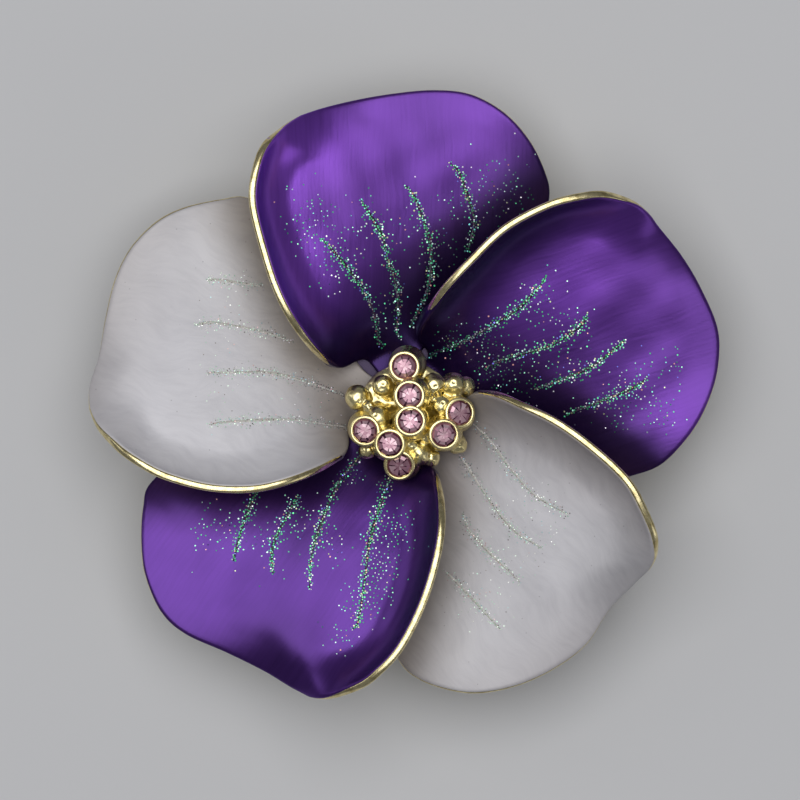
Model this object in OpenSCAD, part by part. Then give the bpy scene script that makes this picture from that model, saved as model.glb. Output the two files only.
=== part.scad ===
// Five-petal pinwheel flower brooch with a rolled-edge enamelled flower,
// a jewelled centre cluster and a hinged pin with a turning lock on the back.
// Millimetres. +Z comes out of the flower face, +Y is the top petal side,
// origin at the bottom centre of the bounding box.

/* [Show] */

/* [Flower] */
// thickness of the stamped petal sheet
sheet_t = 0.7;
// thickness of the enamel skin
enamel_t = 0.15;
// length of the curl along the sheet at the rolled edge
curl_len = 5.5;
// how far the petals cup upward away from the hub
cup_rise = 3.0;
// how far each petal climbs from its low edge to its rolled edge, half value
pinwheel_rise = 3.0;
// radius of the flat middle where the petals are riveted
flat_r = 4.8;

/* [Centre] */
// radius of the set stones
stone_r = 1.2;
// centre of the cluster measured from the hub
cluster_off = [0.75, -1.03];

/* [Pin] */
// distance of the pin line above the hub
pin_up = 4.0;
// half distance between hinge and catch
pin_half = 15.0;
// radius of the pin wire
wire_r = 0.45;
// height of the pin axis over the lowest point
axis_z = 1.9;

/* [Hidden] */
$fn = 48;

hub = [-0.4272, -0.6602];
z_plate = 6.65;     // underside of the pin plate
plate_t = 0.8;
z_spacer = z_plate + plate_t;
spacer_t = 1.2;
z_tab = z_spacer + spacer_t + sheet_t + 0.02;   // front face of the flat middle
z_base = z_tab + enamel_t;               // underside of the cluster

// outline of a petal as x, y from the hub and the curl angle at that place:
// the root and tail are shared, the free side differs a little from petal to petal
root = [[0.8,2.1,0],[1.9,4.5,0],[3.8,6.3,0],[6.9,8.4,0],[10.6,11.2,-3],[13.4,15.2,-6]];
free_curl = [-6,0,6,8,0,-6,-16,-28,-18,25,70,92,98,97,92,80,50,18];
free_side = [
 [[14.5,19.6],[14,22.2],[12.5,25.2],[10.1,27.8],[6.8,29.5],[3.2,29.9],[-1,29.5],[-4.8,28.8],[-8.4,27.8],[-11.2,26.5],[-13.2,24.6],[-14.1,22],[-14.4,18.8],[-13.4,14.4],[-12,10.2],[-10.2,6.8],[-8,4.1],[-5.9,2.9]],
 [[13.9,19.5],[13.6,22.3],[11.8,25.6],[9.6,28],[6.6,30],[3,31.2],[-1.2,30.9],[-4.8,30.1],[-8.2,28.8],[-11,27.6],[-13,24.9],[-13.6,22],[-13.7,18.8],[-12.9,14.4],[-10.9,10.2],[-9,6.8],[-7.1,4.4],[-5.4,3.2]],
 [[14.9,20],[14.3,22.9],[12.2,25.8],[9.9,27.6],[6.7,28.9],[3,29.6],[-0.8,29.5],[-4.6,28.1],[-8.4,27.4],[-11,26.8],[-12.3,25.1],[-13,22.3],[-13.4,18.8],[-12.6,14.4],[-11.2,10.2],[-9.4,6.8],[-7.8,4.3],[-5.8,3.2]],
 [[14.9,20.4],[14.1,22.8],[12.4,25.5],[10.1,28],[6.8,29.9],[3.6,30.3],[-0.8,29.4],[-4.8,28.7],[-8.4,28.3],[-11.06,27.43],[-13.2,24.5],[-13.9,22],[-14.2,18.8],[-13.5,14.4],[-12.1,10.2],[-10.4,6.8],[-8.2,4.2],[-6,3]],
 [[14.2,19.9],[13.2,22.4],[11.4,25.5],[9.2,27.7],[6,29.2],[2.6,29.7],[-1.4,29.4],[-4.9,28.9],[-8.4,28.7],[-11.2,27.2],[-12.8,24.6],[-13.6,22],[-14.1,18.8],[-13.8,14.4],[-12.5,10.2],[-10.4,6.8],[-8,4.2],[-6,3.1]]];
tail = [[-3.4,3.9,0],[-1.45,1.95,0]];
pc = [0.3, 18.0];            // middle of the petal, where the spokes meet
steps = 2;                   // outline points per control point
rings = 9;
flat_rings = 4;
curl_at = [0,0.26,0.52,0.76,0.95,1];   // ring places along the curl
turns = [0, -72, -144, -216, -288];

function cr(a,b,c,d,t) = 0.5*(2*b + (c-a)*t + (2*a-5*b+4*c-d)*t*t + (3*b-a-3*c+d)*t*t*t);
function ring(cp,m) = let(n=len(cp)) [for(i=[0:n-1]) for(k=[0:m-1])
  cr(cp[(i+n-1)%n], cp[i], cp[(i+1)%n], cp[(i+2)%n], k/m)];
function clip(v,a,b) = min(max(v,a),b);
function ang(x,y) = let(a=atan2(y,x)) a < -82 ? a+360 : a;
// height of the petal sheet: cups away from the hub and climbs round it
function field(x,y) = let(d=max(norm([x,y])-flat_r,0), f=clip((ang(x,y)-98)/36,-1.6,1.8))
  cup_rise*(1-exp(-d/8)) + pinwheel_rise*(1-exp(-d/4.5))*f;
// one spoke from the petal middle to its edge, flat then curled
function spoke(c) = let(v=[c[0]-pc[0],c[1]-pc[1]], L=norm(v), u=v/L, psi=c[2],
   a=abs(psi)+0.0001, k=a*PI/180/curl_len,
   b=(a<=90 ? sin(a)/k : 1/k) + (psi>0 ? sheet_t*sin(min(a,90)) : 0), f=max(L-b,0.3))
  [for(j=[0:rings]) let(s=curl_len*curl_at[max(j-flat_rings,0)], q=k*s*180/PI,
    d = j<=flat_rings ? f*j/flat_rings : f+sin(q)/k,
    z = sign(psi)*(1-cos(q))/k, x=pc[0]+u[0]*d, y=pc[1]+u[1]*d)
   [x, y, field(x,y)+z]];
function outline(k) = concat(root, [for(i=[0:len(free_curl)-1]) [free_side[k][i][0],free_side[k][i][1],free_curl[i]]], tail);
N = steps*len(outline(0));
mids = [for(k=[0:4]) [for(e=ring(outline(k),steps)) spoke(e)]];
function unit(v) = v/norm(v);
nrms = [for(mid=mids) [for(i=[0:N-1]) [for(j=[0:rings]) j==0 ? [0,0,1] :
  let(a=mid[i][max(j-1,0)], b=mid[i][min(j+1,rings)], c=mid[(i+1)%N][j], d=mid[(i+N-1)%N][j])
  unit(cross(b-a, c-d))]]];
// moves a petal point to its place round the hub
function seat(p,k) = let(a=turns[k]) [hub[0]+p[0]*cos(a)-p[1]*sin(a), hub[1]+p[0]*sin(a)+p[1]*cos(a), z_tab+p[2]];

// skin of the petal surface between two offsets from its front face
module petal_skin(k, lo, hi, last) {
  mid=mids[k]; nrm=nrms[k];
  h=[for(j=[1:last]) for(i=[0:N-1]) seat(mid[i][j]+hi*nrm[i][j],k)];
  l=[for(j=[1:last]) for(i=[0:N-1]) seat(mid[i][j]+lo*nrm[i][j],k)];
  m=N*last;
  polyhedron(points=concat(h,l,[seat(mid[0][0]+[0,0,hi],k), seat(mid[0][0]+[0,0,lo],k)]),
   faces=concat(
    [for(i=[0:N-1]) [2*m, (i+1)%N, i]],
    [for(i=[0:N-1]) [2*m+1, m+i, m+(i+1)%N]],
    [for(j=[0:last-2]) for(i=[0:N-1]) [j*N+i, j*N+(i+1)%N, (j+1)*N+i]],
    [for(j=[0:last-2]) for(i=[0:N-1]) [j*N+(i+1)%N, (j+1)*N+(i+1)%N, (j+1)*N+i]],
    [for(j=[0:last-2]) for(i=[0:N-1]) [m+j*N+i, m+(j+1)*N+i, m+j*N+(i+1)%N]],
    [for(j=[0:last-2]) for(i=[0:N-1]) [m+j*N+(i+1)%N, m+(j+1)*N+i, m+(j+1)*N+(i+1)%N]],
    [for(i=[0:N-1]) [m-N+i, m-N+(i+1)%N, 2*m-N+i]],
    [for(i=[0:N-1]) [m-N+(i+1)%N, 2*m-N+(i+1)%N, 2*m-N+i]]));
}
module sheet(k) petal_skin(k, -sheet_t, 0, rings);
module enamel(k) petal_skin(k, 0, enamel_t, rings-1);
module petal_top() sheet(0);
module petal_right() sheet(1);
module petal_lower_right() sheet(2);
module petal_lower_left() sheet(3);
module petal_left() sheet(4);
module enamel_top() enamel(0);
module enamel_right() enamel(1);
module enamel_lower_right() enamel(2);
module enamel_lower_left() enamel(3);
module enamel_left() enamel(4);

// ---- centre cluster -------------------------------------------------------
// stones: x, y from the cluster middle, outward tilt
stones = [[-0.34,4.3,2],[0.15,1.52,4],[0.23,-0.87,3],[-1.7,-3.05,9],[3.39,-2.15,10],[-4.05,-1.8,12],[4.88,-0.12,16],[-0.8,-5.05,16]];
beads = [[-2.38,2.48,0.9],[-4.83,1.33,1.1],[-2.82,-0.59,1.1],[2.5,2.65,0.9],[4.3,2.5,1],[5.4,2.4,0.75],[3.12,0.64,0.95],[1.02,-3.98,0.95],[2.2,-4.4,0.8],[4.7,-3.1,0.8],[-3.9,-3.7,0.7],[0.3,-3.1,0.6],[-3.7,0.5,0.55],[1.7,-2.4,0.6],[1.9,1.5,0.55]];
function stone_z(i) = let(r=norm([stones[i][0],stones[i][1]])) 16.0-0.077*r*r;
module at_stone(i) translate([hub[0]+cluster_off[0]+stones[i][0], hub[1]+cluster_off[1]+stones[i][1], stone_z(i)])
  rotate([0,0,atan2(stones[i][1],stones[i][0])]) rotate([0,stones[i][2],0]) children();
module cup() { translate([0,0,-1.2]) cylinder(h=1.0, r1=1.86, r2=1.60);
  translate([0,0,-0.2]) cylinder(h=0.62, r1=1.60, r2=1.50);
  translate([0,0,-2.1]) cylinder(h=0.91, r1=0.9, r2=1.86); }
module pocket() { translate([0,0,-0.15]) cylinder(h=0.32, r=1.24);
  translate([0,0,0.169]) cylinder(h=0.2, r1=1.24, r2=1.14);
  translate([0,0,0.36]) cylinder(h=0.4, r1=1.14, r2=1.34);
  translate([0,0,-0.95]) cylinder(h=0.81, r1=0.5, r2=1.02); }
module centre_cluster() difference() {
  union() {
    translate([hub[0]+cluster_off[0], hub[1]+cluster_off[1], 0]) {
      rotate_extrude() polygon([[0,z_base],[2.3,z_base],[3.0,10.7],[4.5,11.8],[4.8,12.2],[4.4,12.7],[3.2,13.2],[1.6,13.5],[0,13.6]]);
      for(b=beads) { rr=norm([b[0],b[1]]); zz=14.7-0.062*rr*rr-0.35*b[2];
        translate([b[0],b[1],zz]) sphere(r=b[2]);
        // short necks join the beads to the casting
        translate([b[0],b[1],zz]) rotate([0,0,atan2(b[1],b[0])]) rotate([0,38,0]) translate([0,0,-1.9]) cylinder(h=1.9, r1=0.8*b[2], r2=0.62*b[2]); }
    }
    for(i=[0:7]) at_stone(i) cup();
  }
  for(i=[0:7]) at_stone(i) pocket();
  translate([hub[0],hub[1],z_base-0.5]) cylinder(h=2.6, r=0.93);
}
// round brilliant stone, girdle bottom at z 0
module gem() {
  t=[for(i=[0:7]) [0.70*cos(45*i),0.70*sin(45*i),0.50]];
  c=[for(i=[0:7]) [0.99*cos(45*i+22.5),0.99*sin(45*i+22.5),0.34]];
  g=[for(i=[0:15]) [stone_r*cos(22.5*i),stone_r*sin(22.5*i),0.13]];
  b=[for(i=[0:15]) [stone_r*cos(22.5*i),stone_r*sin(22.5*i),0]];
  polyhedron(points=concat(t,c,g,b,[[0,0,-0.72],[0,0,0.50]]), faces=concat(
   [for(i=[0:7]) [49,(i+1)%8,i]],
   [for(i=[0:7]) [i,(i+1)%8,8+i]],
   [for(i=[0:7]) [(i+1)%8,8+(i+1)%8,8+i]],
   [for(i=[0:7]) [8+i,16+(2*i+1)%16,16+(2*i)%16]],
   [for(i=[0:7]) [8+i,16+(2*i+2)%16,16+(2*i+1)%16]],
   [for(i=[0:7]) [8+i,8+(i+1)%8,16+(2*i+2)%16]],
   [for(i=[0:15]) [16+i,16+(i+1)%16,32+i]],
   [for(i=[0:15]) [16+(i+1)%16,32+(i+1)%16,32+i]],
   [for(i=[0:15]) [48,32+i,32+(i+1)%16]]));
}
module set_stone(i) at_stone(i) gem();
module stone_top() set_stone(0);
module stone_upper_middle() set_stone(1);
module stone_middle() set_stone(2);
module stone_lower_left() set_stone(3);
module stone_lower_right() set_stone(4);
module stone_left() set_stone(5);
module stone_right() set_stone(6);
module stone_bottom() set_stone(7);

module spacer_disc() translate([hub[0],hub[1],z_spacer]) difference() {
  cylinder(h=spacer_t, r=3.0); translate([0,0,-0.1]) cylinder(h=spacer_t+0.2, r=0.95); }
module centre_rivet() translate([hub[0],hub[1],0]) union() {
  translate([0,0,z_plate-0.3]) cylinder(h=0.3, r=1.9);
  intersection() { translate([0,0,z_plate-0.3+1.9-0.45]) sphere(r=2.1); translate([0,0,z_plate-1.1]) cylinder(h=0.8, r=1.9); }
  translate([0,0,z_plate-0.1]) cylinder(h=z_base+1.7-z_plate+0.1, r=0.88); }

// ---- pin hardware ---------------------------------------------------------
px = hub[0]; py = hub[1]+pin_up;
module pin_plate() difference() {
  union() {
    translate([hub[0],hub[1],z_plate]) cylinder(h=plate_t, r=6.5);
    translate([px-pin_half-0.2, py-2.5, z_plate]) cube([2*pin_half+0.4, 5, plate_t]);
    for(s=[-1,1]) translate([px+s*(pin_half+0.2), py, z_plate]) cylinder(h=plate_t, r=2.5);
  }
  translate([hub[0],hub[1],z_plate-0.1]) cylinder(h=plate_t+0.2, r=0.95);
  for(s=[-1,1]) translate([px+s*(pin_half-5.5), py, z_plate-0.1]) cylinder(h=plate_t+0.2, r=0.9);
}
// one hinge ear, a rounded plate square to Y
module hinge_ear() difference() {
  union() { rotate([-90,0,0]) cylinder(h=0.6, r=1.9); translate([-1.9,0,0]) cube([3.8,0.6,z_plate-0.4-axis_z]); }
  translate([0,-0.1,0]) rotate([-90,0,0]) cylinder(h=0.8, r=0.51);
}
module hinge_bracket() translate([px-pin_half,py,0]) union() {
  translate([0,-1.25,axis_z]) hinge_ear();
  translate([0,0.65,axis_z]) hinge_ear();
  translate([-1.9,-1.25,z_plate-0.8]) cube([3.8,2.5,0.8]);
}
module hinge_rivet() translate([px-pin_half,py,axis_z]) rotate([90,0,0]) union() {
  translate([0,0,-1.35]) cylinder(h=2.7, r=0.49);
  for(s=[-1,1]) translate([0,0,s*1.455]) intersection() { cylinder(h=0.36,r=0.85,center=true);
    translate([0,0,-s*0.9]) sphere(r=1.25); } }
module pin_stem() translate([px-pin_half,py,axis_z]) difference() {
  union() {
    translate([0,-0.55,0]) rotate([-90,0,0]) cylinder(h=1.1, r=1.15);
    // short tapered neck between the eye and the wire
    translate([0.8,0,0]) rotate([0,90,0]) cylinder(h=1.8, r1=0.62, r2=wire_r);
    translate([2.6,0,0]) rotate([0,90,0]) cylinder(h=23.9, r=wire_r);
    translate([26.5,0,0]) rotate([0,90,0]) cylinder(h=6.1, r1=wire_r, r2=0.1);
  }
  translate([0,-0.7,0]) rotate([-90,0,0]) cylinder(h=1.4, r=0.54);
}
module catch_ear() difference() {
  union() { rotate([0,90,0]) cylinder(h=0.8, r=1.99); translate([0,-1.99,0]) cube([0.8,3.98,z_plate-0.4-axis_z]); }
  translate([-0.1,0,0]) rotate([0,90,0]) cylinder(h=1.0, r=1.30);
  translate([-0.1,-0.62,-2.4]) cube([1.0,1.24,2.4]);
}
module catch_bracket() translate([px+pin_half,py,0]) union() {
  translate([-2.05,0,axis_z]) catch_ear();
  translate([1.25,0,axis_z]) catch_ear();
  translate([-2.05,-1.99,z_plate-0.8]) cube([4.1,3.98,0.8]);
}
module lock_barrel() translate([px+pin_half,py,axis_z]) difference() {
  union() {
    translate([-2.25,0,0]) rotate([0,90,0]) cylinder(h=4.5, r=1.24);
    translate([-1.2,0,0]) rotate([0,90,0]) cylinder(h=2.4, r=1.62);
    rotate([70,0,0]) { translate([-0.6,-0.35,-2.9]) cube([1.2,0.7,1.8]);
      translate([-0.6,0,-2.9]) rotate([0,90,0]) cylinder(h=1.2, r=0.45); }
  }
  translate([-2.5,0,0]) rotate([0,90,0]) cylinder(h=5, r=0.62);
  translate([-2.5,-0.62,-2.4]) cube([5,1.24,2.4]);
}

petal_top();
petal_right();
petal_lower_right();
petal_lower_left();
petal_left();
enamel_top();
enamel_right();
enamel_lower_right();
enamel_lower_left();
enamel_left();
spacer_disc();
centre_cluster();
centre_rivet();
stone_top();
stone_upper_middle();
stone_middle();
stone_lower_left();
stone_lower_right();
stone_left();
stone_right();
stone_bottom();
pin_plate();
hinge_bracket();
hinge_rivet();
pin_stem();
catch_bracket();
lock_barrel();
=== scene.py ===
"""Flower brooch: five enamelled petals, jewelled centre, hinged pin with a turning lock."""
import math

import bmesh
import bpy
import numpy as np
from mathutils import Matrix, Vector, noise
from mathutils.bvhtree import BVHTree


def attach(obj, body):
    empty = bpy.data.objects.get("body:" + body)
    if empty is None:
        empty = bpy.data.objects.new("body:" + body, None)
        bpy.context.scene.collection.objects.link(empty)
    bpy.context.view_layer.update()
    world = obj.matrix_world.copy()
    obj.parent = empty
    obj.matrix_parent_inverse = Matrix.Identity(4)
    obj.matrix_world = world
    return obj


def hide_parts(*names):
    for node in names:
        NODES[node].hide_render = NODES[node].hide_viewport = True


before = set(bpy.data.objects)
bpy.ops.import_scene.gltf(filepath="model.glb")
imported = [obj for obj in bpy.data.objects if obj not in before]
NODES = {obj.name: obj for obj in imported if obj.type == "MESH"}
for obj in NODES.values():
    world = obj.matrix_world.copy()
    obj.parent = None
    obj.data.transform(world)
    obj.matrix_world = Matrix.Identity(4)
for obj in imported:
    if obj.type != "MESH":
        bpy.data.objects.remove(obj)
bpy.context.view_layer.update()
MM = 0.001
rng = np.random.default_rng(7)

HUB = np.array([-0.4272, -0.6602])
Z_TAB, Z_BASE, Z_PLATE = 9.37, 9.52, 6.65
SHEET, SKIN, CURL = 0.7, 0.15, 5.5
CLUSTER = HUB + np.array([0.75, -1.03])
PIN_Y = HUB[1] + 4.0
AXIS_Z = 1.9

# ------------------------------------------------------------------ petals
ROOT = [(0.8, 2.1, 0), (1.9, 4.5, 0), (3.8, 6.3, 0), (6.9, 8.4, 0), (10.6, 11.2, -3), (13.4, 15.2, -6)]
FREE_CURL = [-6, 0, 6, 8, 0, -6, -16, -28, -18, 25, 70, 92, 98, 97, 92, 80, 50, 18]
FREE_SIDE = [
    [(14.5, 19.6), (14, 22.2), (12.5, 25.2), (10.1, 27.8), (6.8, 29.5), (3.2, 29.9), (-1, 29.5), (-4.8, 28.8), (-8.4, 27.8), (-11.2, 26.5), (-13.2, 24.6), (-14.1, 22), (-14.4, 18.8), (-13.4, 14.4), (-12, 10.2), (-10.2, 6.8), (-8, 4.1), (-5.9, 2.9)],
    [(13.9, 19.5), (13.6, 22.3), (11.8, 25.6), (9.6, 28), (6.6, 30), (3, 31.2), (-1.2, 30.9), (-4.8, 30.1), (-8.2, 28.8), (-11, 27.6), (-13, 24.9), (-13.6, 22), (-13.7, 18.8), (-12.9, 14.4), (-10.9, 10.2), (-9, 6.8), (-7.1, 4.4), (-5.4, 3.2)],
    [(14.9, 20), (14.3, 22.9), (12.2, 25.8), (9.9, 27.6), (6.7, 28.9), (3, 29.6), (-0.8, 29.5), (-4.6, 28.1), (-8.4, 27.4), (-11, 26.8), (-12.3, 25.1), (-13, 22.3), (-13.4, 18.8), (-12.6, 14.4), (-11.2, 10.2), (-9.4, 6.8), (-7.8, 4.3), (-5.8, 3.2)],
    [(14.9, 20.4), (14.1, 22.8), (12.4, 25.5), (10.1, 28), (6.8, 29.9), (3.6, 30.3), (-0.8, 29.4), (-4.8, 28.7), (-8.4, 28.3), (-11.06, 27.43), (-13.2, 24.5), (-13.9, 22), (-14.2, 18.8), (-13.5, 14.4), (-12.1, 10.2), (-10.4, 6.8), (-8.2, 4.2), (-6, 3)],
    [(14.2, 19.9), (13.2, 22.4), (11.4, 25.5), (9.2, 27.7), (6, 29.2), (2.6, 29.7), (-1.4, 29.4), (-4.9, 28.9), (-8.4, 28.7), (-11.2, 27.2), (-12.8, 24.6), (-13.6, 22), (-14.1, 18.8), (-13.8, 14.4), (-12.5, 10.2), (-10.4, 6.8), (-8, 4.2), (-6, 3.1)]]
TAIL = [(-3.4, 3.9, 0), (-1.45, 1.95, 0)]
MID = np.array([0.3, 18.0])
TURNS = [0, -72, -144, -216, -288]
PETALS = ["top", "right", "lower_right", "lower_left", "left"]
FLAT_R, CUP, WHEEL = 4.8, 3.0, 3.0
PULL = 0.07          # keeps the smooth rim inside the faceted frame


def spline(points, m):
    p = np.array(points, float)
    n = len(p)
    out = []
    for i in range(n):
        a, b, c, d = p[(i - 1) % n], p[i], p[(i + 1) % n], p[(i + 2) % n]
        for k in range(m):
            t = k / m
            out.append(0.5 * (2 * b + (c - a) * t + (2 * a - 5 * b + 4 * c - d) * t * t + (3 * b - a - 3 * c + d) * t ** 3))
    return np.array(out)


def field(x, y):
    r = np.hypot(x, y)
    a = np.degrees(np.arctan2(y, x))
    a = np.where(a < -82, a + 360, a)
    d = np.maximum(r - FLAT_R, 0)
    f = np.clip((a - 98) / 36, -1.6, 1.8)
    return CUP * (1 - np.exp(-d / 8)) + WHEEL * (1 - np.exp(-d / 4.5)) * f


def outline(k):
    ease = (0.6, 0.65, 1, 1, 1)[k]
    return ROOT + [(x, y, c * (ease if c < -10 else 1)) for (x, y), c in zip(FREE_SIDE[k], FREE_CURL)] + TAIL


def waves(x, y, k):
    """Slow dents of a hand-finished sheet, under a tenth of a millimetre."""
    return 0.045 * (np.sin(0.62 * x + 0.35 * y + 1.9 * k) * np.sin(0.50 * y - 0.21 * x + 2.7 * k) + 0.6 * np.sin(1.15 * x - 0.4 * y + k) * np.sin(0.9 * y + 0.3 * x + 2 * k))


def petal_grid(which, m, flat_n, curl_n, stop):
    """Rings of points on the petal's front face, from the middle to `stop` mm short of its edge."""
    o = spline(outline(which), m)
    v = o[:, :2] - MID
    L = np.hypot(v[:, 0], v[:, 1])
    u = v / L[:, None]
    psi = np.radians(o[:, 2])
    a = np.abs(psi) + 1e-4
    k = a / CURL
    b = np.where(a <= math.pi / 2, np.sin(a) / k, 1 / k) + np.where(psi > 0, SHEET * np.sin(np.minimum(a, math.pi / 2)), 0)
    f = np.maximum(L - b - PULL, 0.3)
    rows = []
    for j in range(flat_n + 1):
        d = f * (j / flat_n)
        rows.append((d, np.zeros_like(d)))
    for j in range(1, curl_n + 1):
        s = (CURL - stop) * j / curl_n
        rows.append((f + np.sin(k * s) / k, np.sign(psi) * (1 - np.cos(k * s)) / k))
    P = np.zeros((len(o), len(rows), 3))
    for j, (d, z) in enumerate(rows):
        x = MID[0] + u[:, 0] * d
        y = MID[1] + u[:, 1] * d
        fade = math.sin(math.pi * min(j / (flat_n + 0.6 * curl_n), 1)) ** 0.6
        P[:, j] = np.stack([x, y, field(x, y) + z + fade * waves(x, y, which)], 1)
    return P


def grid_normals(P):
    dr = np.empty_like(P)
    dr[:, 1:-1] = P[:, 2:] - P[:, :-2]
    dr[:, 0] = P[:, 1] - P[:, 0]
    dr[:, -1] = P[:, -1] - P[:, -2]
    dt = np.roll(P, -1, 0) - np.roll(P, 1, 0)
    n = np.cross(dr, dt)
    n[:, 0] = n[:, 1].mean(0)
    n /= np.linalg.norm(n, axis=2, keepdims=True) + 1e-12
    t = dr / (np.linalg.norm(dr, axis=2, keepdims=True) + 1e-12)
    return n, t


def seat(V, k):
    V = np.array(V, float).copy()
    a = math.radians(TURNS[k])
    x, y = V[..., 0].copy(), V[..., 1].copy()
    V[..., 0] = HUB[0] + x * math.cos(a) - y * math.sin(a)
    V[..., 1] = HUB[1] + x * math.sin(a) + y * math.cos(a)
    V[..., 2] += Z_TAB
    return V


def loft(name, rings, uv, k, mat):
    """Closed skin from a list of rings; the first and last close on their middle point."""
    N = len(rings[1])
    verts = [rings[0]]
    luv = [uv[0]]
    for q, w in zip(rings[1:-1], uv[1:-1]):
        verts += list(q)
        luv += list(w)
    verts.append(rings[-1])
    luv.append(uv[-1])
    M = len(rings) - 2
    faces = []
    last = len(verts) - 1
    for i in range(N):
        j = (i + 1) % N
        faces.append((0, 1 + i, 1 + j))
        for q in range(M - 1):
            a = 1 + q * N
            faces.append((a + i, a + N + i, a + N + j, a + j))
        faces.append((1 + (M - 1) * N + j, 1 + (M - 1) * N + i, last))
    me = bpy.data.meshes.new(name)
    me.from_pydata([tuple(v) for v in seat(np.array(verts), k) * MM], [], faces)
    layer = me.uv_layers.new(name="petal")
    co = np.array([luv[l.vertex_index] for l in me.loops], np.float32)
    layer.data.foreach_set("uv", co.ravel())
    me.polygons.foreach_set("use_smooth", [True] * len(me.polygons))
    me.materials.append(mat)
    me.update()
    ob = bpy.data.objects.new(name, me)
    bpy.context.scene.collection.objects.link(ob)
    return ob


# ------------------------------------------------------------------ materials
def new_mat(name):
    m = bpy.data.materials.new(name)
    m.use_nodes = True
    nt = m.node_tree
    return m, nt, nt.nodes["Principled BSDF"]


def node(nt, kind, **kw):
    n = nt.nodes.new(kind)
    for key, val in kw.items():
        if key.startswith("i_"):
            n.inputs[int(key[2:]) if key[2:].isdigit() else key[2:].replace("_", " ")].default_value = val
        else:
            setattr(n, key, val)
    return n


def ramp(nt, stops):
    r = nt.nodes.new("ShaderNodeValToRGB")
    el = r.color_ramp.elements
    while len(el) > 1:
        el.remove(el[-1])
    el[0].position, el[0].color = stops[0][0], (*stops[0][1], 1)
    for p, c in stops[1:]:
        e = el.new(p)
        e.color = (*c, 1)
    return r


def srgb(r, g, b):
    return tuple(((c / 255) / 12.92 if c / 255 <= 0.04045 else ((c / 255 + 0.055) / 1.055) ** 2.4) for c in (r, g, b))


def gold(name, base=(0.80, 0.70, 0.40), rough=0.16, scale=1.0, bump=0.05, hollow_shade=0.25, dark=(0.40, 0.31, 0.10), specks=False):
    m, nt, b = new_mat(name)
    b.inputs["Metallic"].default_value = 1.0
    tc = node(nt, "ShaderNodeTexCoord")
    mp = node(nt, "ShaderNodeMapping")
    nt.links.new(tc.outputs["Object"], mp.inputs["Vector"])
    n1 = node(nt, "ShaderNodeTexNoise")
    n1.inputs["Scale"].default_value = 260 * scale
    n1.inputs["Detail"].default_value = 6
    n1.inputs["Roughness"].default_value = 0.6
    n2 = node(nt, "ShaderNodeTexNoise")
    n2.inputs["Scale"].default_value = 1900 * scale
    n2.inputs["Detail"].default_value = 4
    nt.links.new(mp.outputs[0], n1.inputs["Vector"])
    nt.links.new(mp.outputs[0], n2.inputs["Vector"])
    cr = ramp(nt, [(0.30, tuple(b_ * 0.80 + d_ * 0.2 for b_, d_ in zip(base, dark))), (0.55, base), (0.8, tuple(min(1, c * 1.06) for c in base))])
    nt.links.new(n1.outputs["Fac"], cr.inputs["Fac"])
    # painted shade: hollows (low pointiness) darken toward the dark tone
    geo = node(nt, "ShaderNodeNewGeometry")
    pr = ramp(nt, [(0.40, dark), (0.50, (1, 1, 1)), (0.62, (1.0, 0.98, 0.92))])
    nt.links.new(geo.outputs["Pointiness"], pr.inputs["Fac"])
    mx = node(nt, "ShaderNodeMix", data_type="RGBA", blend_type="MULTIPLY")
    mx.inputs["Factor"].default_value = hollow_shade
    nt.links.new(cr.outputs["Color"], mx.inputs["A"])
    nt.links.new(pr.outputs["Color"], mx.inputs["B"])
    colour = mx.outputs["Result"]
    if specks:
        n4 = node(nt, "ShaderNodeTexNoise")
        n4.inputs["Scale"].default_value = 1100
        n4.inputs["Detail"].default_value = 5
        n4.inputs["Roughness"].default_value = 0.7
        nt.links.new(mp.outputs[0], n4.inputs["Vector"])
        r4 = ramp(nt, [(0.36, (0.66, 0.60, 0.46)), (0.50, (0.92, 0.90, 0.86)), (0.66, (1.15, 1.13, 1.1))])
        nt.links.new(n4.outputs["Fac"], r4.inputs["Fac"])
        m4 = node(nt, "ShaderNodeMix", data_type="RGBA", blend_type="MULTIPLY")
        m4.inputs["Factor"].default_value = 1.0
        nt.links.new(colour, m4.inputs["A"])
        nt.links.new(r4.outputs["Color"], m4.inputs["B"])
        vo = node(nt, "ShaderNodeTexVoronoi")
        vo.inputs["Scale"].default_value = 420
        nt.links.new(mp.outputs[0], vo.inputs["Vector"])
        lt = node(nt, "ShaderNodeMath", operation="LESS_THAN")
        lt.inputs[1].default_value = 0.075
        nt.links.new(vo.outputs["Distance"], lt.inputs[0])
        m5 = node(nt, "ShaderNodeMix", data_type="RGBA", blend_type="MIX")
        nt.links.new(lt.outputs[0], m5.inputs["Factor"])
        nt.links.new(m4.outputs["Result"], m5.inputs["A"])
        m5.inputs["B"].default_value = (*srgb(168, 148, 176), 1)
        colour = m5.outputs["Result"]
    nt.links.new(colour, b.inputs["Base Color"])
    mr = node(nt, "ShaderNodeMapRange")
    mr.inputs["To Min"].default_value = rough * 0.7
    mr.inputs["To Max"].default_value = rough * 1.5
    nt.links.new(n1.outputs["Fac"], mr.inputs["Value"])
    nt.links.new(mr.outputs["Result"], b.inputs["Roughness"])
    bp = node(nt, "ShaderNodeBump")
    bp.inputs["Strength"].default_value = bump
    bp.inputs["Distance"].default_value = 0.00005
    nt.links.new(n2.outputs["Fac"], bp.inputs["Height"])
    nt.links.new(bp.outputs["Normal"], b.inputs["Normal"])
    return m


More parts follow.
